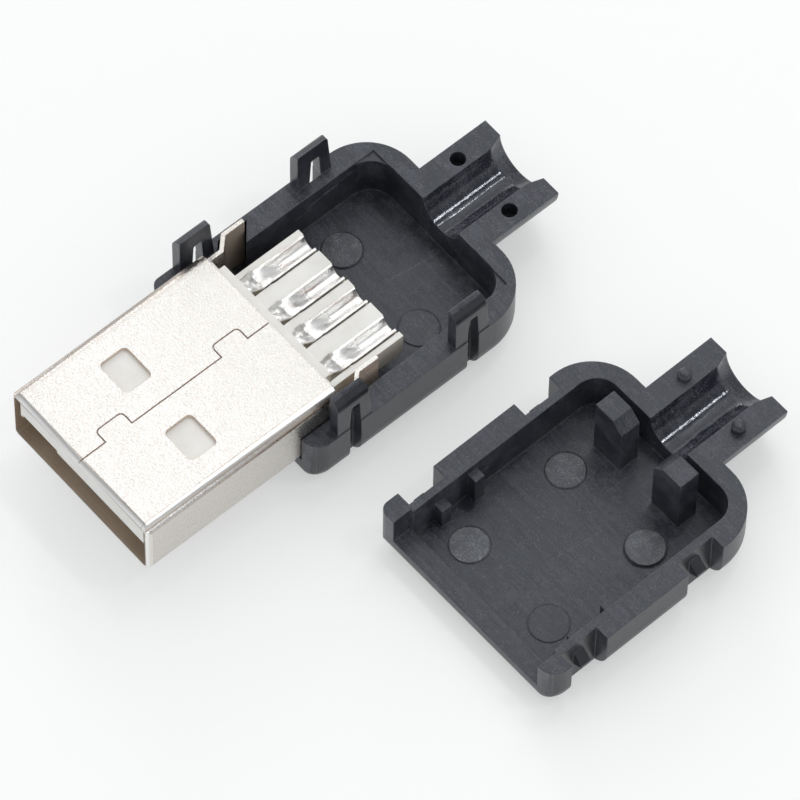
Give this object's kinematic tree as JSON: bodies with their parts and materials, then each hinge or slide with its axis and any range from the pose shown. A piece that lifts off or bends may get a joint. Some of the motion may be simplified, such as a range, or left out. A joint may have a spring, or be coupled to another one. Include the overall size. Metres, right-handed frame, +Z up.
{
  "type": "usb-a plug",
  "caption": "Solder-type cable plug: metal shell on an insulator with solder cups, seated in the lower half of a snap housing, with the matching upper cover laid open beside it.",
  "frame": {"origin": "on the flat underside of the lower housing half, at the middle of its body without the front nose and the cable tail", "axes": "+Z up out of the open housing, +Y from the plug's mouth to the cable end, +X to the side where the upper cover lies"},
  "size_m": [0.0339, 0.0334, 0.0078],
  "materials": {
    "shell_metal": "satin nickel plate on formed sheet",
    "contact_metal": "bright tin plate on brass",
    "white_plastic": "moulded off-white plastic",
    "black_plastic": "moulded black plastic, fine satin surface"
  },
  "bodies": {
    "root": {"plug_shell": "shell_metal", "insulator": "white_plastic", "contact_power": "contact_metal", "contact_data_minus": "contact_metal", "contact_data_plus": "contact_metal", "contact_ground": "contact_metal", "lower_housing": "black_plastic", "upper_cover": "black_plastic"}
  },
  "joints": []
}
